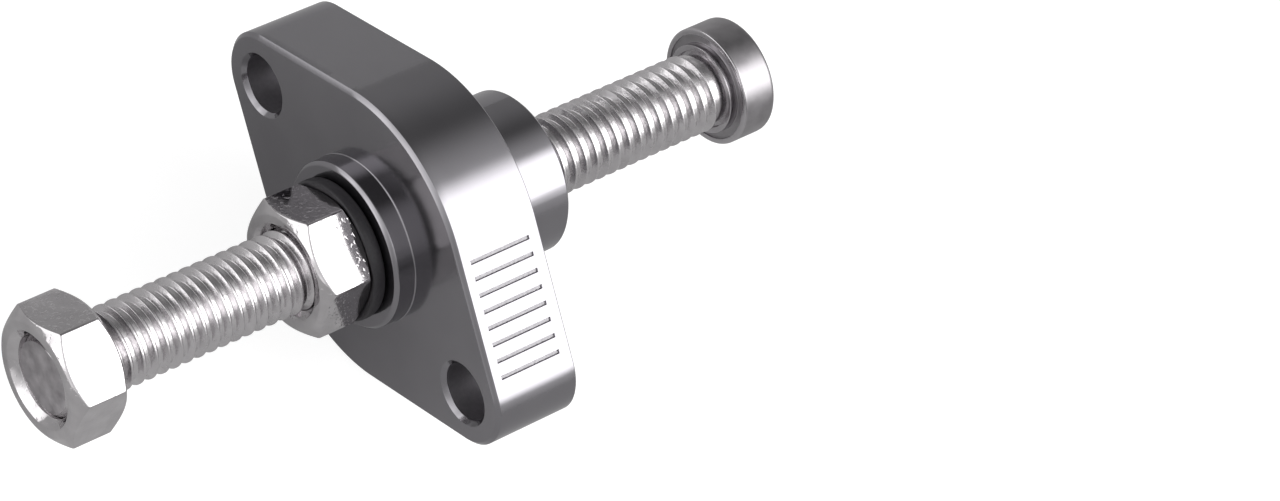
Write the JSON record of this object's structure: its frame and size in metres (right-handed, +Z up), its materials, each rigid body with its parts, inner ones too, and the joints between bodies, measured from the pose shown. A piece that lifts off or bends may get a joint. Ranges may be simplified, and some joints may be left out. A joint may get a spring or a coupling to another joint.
{
  "type": "cam chain tensioner",
  "caption": "Manual cam chain tensioner: two-bolt anodised housing with boss and spigot, threaded adjuster screw with hex end, lock nut, rubber seal ring and swivelling foot.",
  "frame": {"origin": "on the screw's axis, in the flange's rear face, midway between the two bolt holes", "axes": "+Y along the screw into the engine, +X through the bolt holes towards the grooved side, +Z up"},
  "size_m": [0.0544, 0.0968, 0.0368],
  "materials": {
    "anodised_aluminium": "dark grey gloss anodising over fine machining",
    "black_rubber": "smooth black rubber",
    "zinc_plated_steel": "bright zinc plate",
    "threaded_steel": "bright rolled thread",
    "turned_steel": "turned steel with fine concentric tool marks"
  },
  "bodies": {
    "housing": {"housing": "anodised_aluminium", "seal_ring": "black_rubber"},
    "foot": {"foot": "turned_steel"},
    "screw": {"adjuster_screw": "threaded_steel", "end_nut": "zinc_plated_steel"},
    "lock_nut": {"lock_nut": "zinc_plated_steel"}
  },
  "joints": [
    {"name": "adjuster_travel", "type": "slide", "parent": "housing", "child": "foot", "axis": [0, 1, 0], "range_m": [-0.0254, 0.02064]},
    {"name": "screw_turn", "type": "hinge", "parent": "foot", "child": "screw", "pos_m": [0, 0, 0], "axis": [0, 1, 0], "range_deg": [-5760, 4680]},
    {"name": "lock_nut_back_off", "type": "slide", "parent": "housing", "child": "lock_nut", "axis": [0, -1, 0], "range_m": [0, 0.003]}
  ],
  "couplings": [
    {"joint": "screw_turn", "follows": "adjuster_travel", "rad_per_m": 3957.9}
  ]
}
